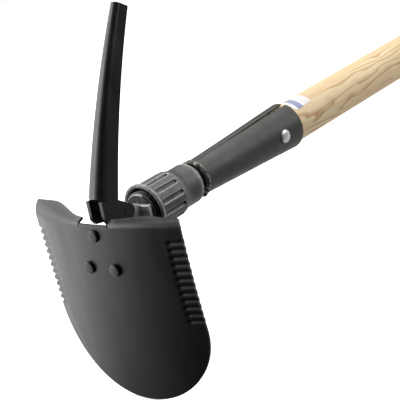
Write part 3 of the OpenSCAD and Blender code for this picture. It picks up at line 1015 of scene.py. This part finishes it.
def weld_bead(material):
    """A lumpy bead laid round the narrow end of the ferrule in overlapping puddles."""
    shell = Shell()
    count, section = 150, 14
    rows = []
    for i in range(count):
        angle = 2 * pi * i / count
        ripple = abs(sin(angle * WELD_PUDDLES / 2 + 0.6 * sin(3 * angle)))
        lump = noise.noise(Vector((cos(angle), sin(angle), 0.3)) * 3.1)
        size = WELD_SIZE + WELD_RIPPLE * ripple + WELD_LUMP * lump
        ring = []
        for j in range(section):
            turn = 2 * pi * j / section
            grit = WELD_GRIT * noise.noise(Vector((cos(angle) * 9, sin(angle) * 9, turn)))
            r = WELD_RING_R + 0.35 * lump + (size + grit) * sin(turn)
            x = WELD_RING_X + (size * 0.95 + grit) * cos(turn)
            ring.append((x, r * sin(angle), r * cos(angle)))
        rows.append(shell.row(ring))
    shell.strips(rows + [rows[0]], closed=True)
    return piece("weld_bead_puddles", shell, material, "shaft", ["weld_bead"])


def ferrule_r(x):
    """The ferrule's outer radius at x, slightly waisted between its ends."""
    share = (x - THROAT_X) / FERRULE_LEN
    return mix(THROAT_R, MOUTH_R, share) - FERRULE_WAIST * sin(pi * share)


def ferrule(material):
    shell = Shell()
    rows = []
    for x in steps(THROAT_X, 0, FERRULE_STEPS):
        share = (x - THROAT_X) / FERRULE_LEN
        gap = mix(SEAM_THROAT, SEAM_MOUTH, share ** SEAM_FLARE)
        waver = SEAM_WAVER * noise.noise(Vector((x / 13, 0.7, 0)))
        row = []
        for j in range(FERRULE_SIDES + 1):
            r = ferrule_r(x)
            turn = mix(gap / 2, 2 * pi * r - gap / 2 + waver, j / FERRULE_SIDES) / r
            lip = max(0.0, 1 - min(turn, 2 * pi - turn) * r / LIP_W)
            side = -NEAR_LIP_DROP if turn < pi else FAR_LIP_LIFT
            dents = FERRULE_DENT * noise.noise(Vector((x / 22, 2 * cos(turn), 2 * sin(turn))))
            reach = r + side * lip * lip + dents - 0.12
            # A turn of 0 is the seam, which lies towards -Y from the top.
            angle = -SEAM_TURN + turn
            row.append((x, reach * sin(angle), reach * cos(angle)))
        rows.append(shell.row(row))
    shell.strips(rows)
    made = piece("ferrule_socket", shell, material, "shaft", ["ferrule"], closed=False)
    face_outwards(made)
    thicken(made, FERRULE_WALL - 0.2)
    soften(made, 0.45, 50)
    return made


def face_outwards(made):
    """Turns an open tube's faces away from the handle's axis."""
    mesh = made.data
    total = sum(poly.normal.dot(Vector((0, poly.center.y, poly.center.z))) for poly in mesh.polygons)
    if total < 0:
        mesh.flip_normals()


def ferrule_rivet(material):
    """A rivet through ferrule and handle, with a button head at each side."""
    shell = Shell()
    head_r, head_h = FERRULE_RIVET_R, FERRULE_RIVET_H
    seat = ferrule_r(RIVET_X) - 0.3
    profile = [(seat - 0.5, head_r * 0.5), (seat, head_r - 0.3), (seat + 0.5, head_r)]
    profile += [(seat + 0.6 + (head_h - 0.6) * sin(a), head_r * (0.35 + 0.65 * cos(a)))
                for a in steps(0.15, pi / 2, 8)]
    count = 44
    heads = []
    for side in (-1, 1):
        rows = []
        for reach, r in profile:
            rows.append(shell.row([(RIVET_X + r * cos(2 * pi * i / count), side * reach,
                                    r * sin(2 * pi * i / count)) for i in range(count)]))
        shell.strips(rows, closed=True)
        shell.fan(rows[-1], (RIVET_X, side * (seat + head_h + 0.08), 0))
        heads.append(rows[0])
    shell.strip(heads[0], heads[1], closed=True)
    return piece("ferrule_button_rivet", shell, material, "shaft", ["ferrule_rivet"])


def handle(material):
    shell = Shell()
    tenon_r = THROAT_R - FERRULE_WALL - TENON_GAP
    profile = [(TENON_X, 0.6 * tenon_r), (TENON_X, tenon_r), (-2, HANDLE_R - 0.4), (0, HANDLE_R)]
    profile += [(x, HANDLE_R) for x in steps(4, BUTT_X - BUTT_ROUND, 60)]
    profile += [(BUTT_X - BUTT_ROUND + BUTT_ROUND * sin(a), HANDLE_R - BUTT_ROUND * (1 - cos(a)))
                for a in steps(0, pi / 2, 10)[1:]]
    rows = shell.revolve(profile, HANDLE_SIDES)
    shell.fan(rows[0], (TENON_X, 0, 0))
    shell.fan(rows[-1], (BUTT_X, 0, 0))
    return piece("ash_handle", shell, material, "shaft", ["handle"])


def label(material):
    """A thin printed sticker that follows the handle, with rounded corners."""
    shell = Shell()
    corner = LABEL_CORNER
    half_w = LABEL_W / 2
    rows = []
    for along in steps(0, LABEL_LEN, 32):
        near_end = max(0.0, corner - along, along - (LABEL_LEN - corner))
        half = half_w - corner + sqrt(max(0.0, corner ** 2 - near_end ** 2))
        row = []
        for across in steps(-half, half, 18):
            angle = -LABEL_TURN + across / HANDLE_R
            reach = HANDLE_R + LABEL_T + 0.02
            row.append((LABEL_START + along, reach * sin(angle), reach * cos(angle)))
        rows.append(shell.row(row))
    shell.strips(rows)
    made = piece("handle_label", shell, material, "shaft", closed=False)
    face_outwards(made)
    thicken(made, LABEL_T)
    return made


def dress_cad_node(node, material, edge):
    """Gives a CAD node that stays in view a new material and softened edges."""
    made = NODES[node]
    made.data.materials.clear()
    made.data.materials.append(material)
    weld = made.modifiers.new("weld", "WELD")
    weld.merge_threshold = 0.005 * MM
    soften(made, edge, 40)


# ---- Stage, lights and camera ----

FLOOR_Z = cad_box[0].z / MM
FLOOR_HALF = 9000
FLOOR_SHINE = 0.62
CAMERA_PLACE = Vector((-760.0, -641.4, 286.3))
CAMERA_RIGHT = Vector((0.632, -0.7399, -0.2305))
CAMERA_UP = Vector((0.3902, 0.0468, 0.9195))
CAMERA_LENS = 108.54
HEAD = Vector((HINGE_X, 0, 0))


def floor_look():
    """Pale floor; as the blade mirrors it, it is bright to the left and behind, dark in front."""
    look = Look("pale_floor")
    x, y, _ = look.parts()
    # Colour ramps start at 0, so the places are shifted to be positive.
    x_place = look.math("ADD", x, 0.5)
    leftward = look.math("ADD", y, look.math("MULTIPLY", x, 0.5))
    left = look.ramp(look.math("ADD", leftward, 0.5), (0.33, 0.0), (0.66, 1.0))
    behind = look.ramp(x_place, (0.38, 0.0), (0.62, 0.34))
    seen = look.add("ShaderNodeLightPath").outputs["Is Camera Ray"]
    near = look.ramp(look.math("ADD", y, 0.5), (0.10, 0.0), (0.30, 1.0))
    head_side = look.ramp(x_place, (0.45, 1.0), (0.70, 0.25))
    glow = look.math("MAXIMUM", look.math("MULTIPLY", left, head_side), look.math("MULTIPLY", behind, near))
    pale = look.ramp(look.noise(6, 3), (0.3, 0.78), (0.7, 0.80))
    colour = look.blend(look.math("MAXIMUM", seen, glow), (0.03, 0.03, 0.03), pale)
    look.shader.inputs["Specular IOR Level"].default_value = 0.1
    look.shader.inputs["Emission Color"].default_value = (1, 1, 1, 1)
    strength = look.math("MAXIMUM", look.math("MULTIPLY", seen, FLOOR_SHINE), glow)
    look.join(strength, look.shader.inputs["Emission Strength"])
    return look.finish(colour, 0.8)


def floor_plane():
    half = FLOOR_HALF
    mesh = bpy.data.meshes.new("floor")
    corners = [(-half, -half), (half, -half), (half, half), (-half, half)]
    mesh.from_pydata([Vector((x, y, FLOOR_Z)) * MM for x, y in corners], [], [(0, 1, 2, 3)])
    mesh.materials.append(floor_look())
    plane = bpy.data.objects.new("floor", mesh)
    bpy.context.scene.collection.objects.link(plane)


def soft_box(name, place, width, height, watts, colour=(1, 1, 1)):
    """A rectangular light aimed at the head."""
    lamp = bpy.data.lights.new(name, "AREA")
    lamp.shape = "RECTANGLE"
    lamp.size = width * MM
    lamp.size_y = height * MM
    lamp.energy = watts
    lamp.color = colour
    made = bpy.data.objects.new(name, lamp)
    made.location = Vector(place) * MM
    made.rotation_euler = (HEAD - Vector(place)).to_track_quat("-Z", "Y").to_euler()
    bpy.context.scene.collection.objects.link(made)


def lights():
    soft_box("key_left", (-700, 1700, 900), 2600, 2000, 48)
    soft_box("front_left", (-1250, 1050, 500), 900, 1300, 11)
    soft_box("overhead", (500, 100, 1600), 1800, 1400, 34)
    soft_box("fill_right", (900, -1400, 900), 1200, 700, 18)


def world():
    made = bpy.data.worlds.new("studio")
    made.use_nodes = True
    back = made.node_tree.nodes["Background"]
    back.inputs["Color"].default_value = (0.9, 0.95, 1.0, 1)
    back.inputs["Strength"].default_value = 0.06
    bpy.context.scene.world = made


def camera():
    made = bpy.data.objects.new("camera", bpy.data.cameras.new("camera"))
    made.data.lens = CAMERA_LENS
    made.data.sensor_width = 36
    made.data.clip_start = 0.01
    made.data.clip_end = 60
    back = CAMERA_RIGHT.cross(CAMERA_UP)
    turn = Matrix((CAMERA_RIGHT, CAMERA_UP, back)).transposed()
    made.matrix_world = Matrix.Translation(CAMERA_PLACE * MM) @ turn.to_4x4()
    bpy.context.scene.collection.objects.link(made)
    bpy.context.scene.camera = made


def main():
    scene = bpy.context.scene
    scene.view_settings.view_transform = "Standard"
    black = satin_black()
    steel = bare_steel()
    plate = zinc()
    camera()
    world()
    lights()
    floor_plane()
    blade(black)
    blade_rivets(black)
    pick(black)
    collar(collar_phosphate())
    yoke(steel, dark_thread())
    weld_bead(weld_metal())
    ferrule(grey_paint())
    ferrule_rivet(plate)
    handle(ash_wood())
    label(label_print())
    dress_cad_node("bracket", black, 0.4)
    dress_cad_node("pick_pin", black, 0.2)
    dress_cad_node("blade_pin", steel, 0.3)
    dress_cad_node("guide_ring", plate, 0.2)


main()
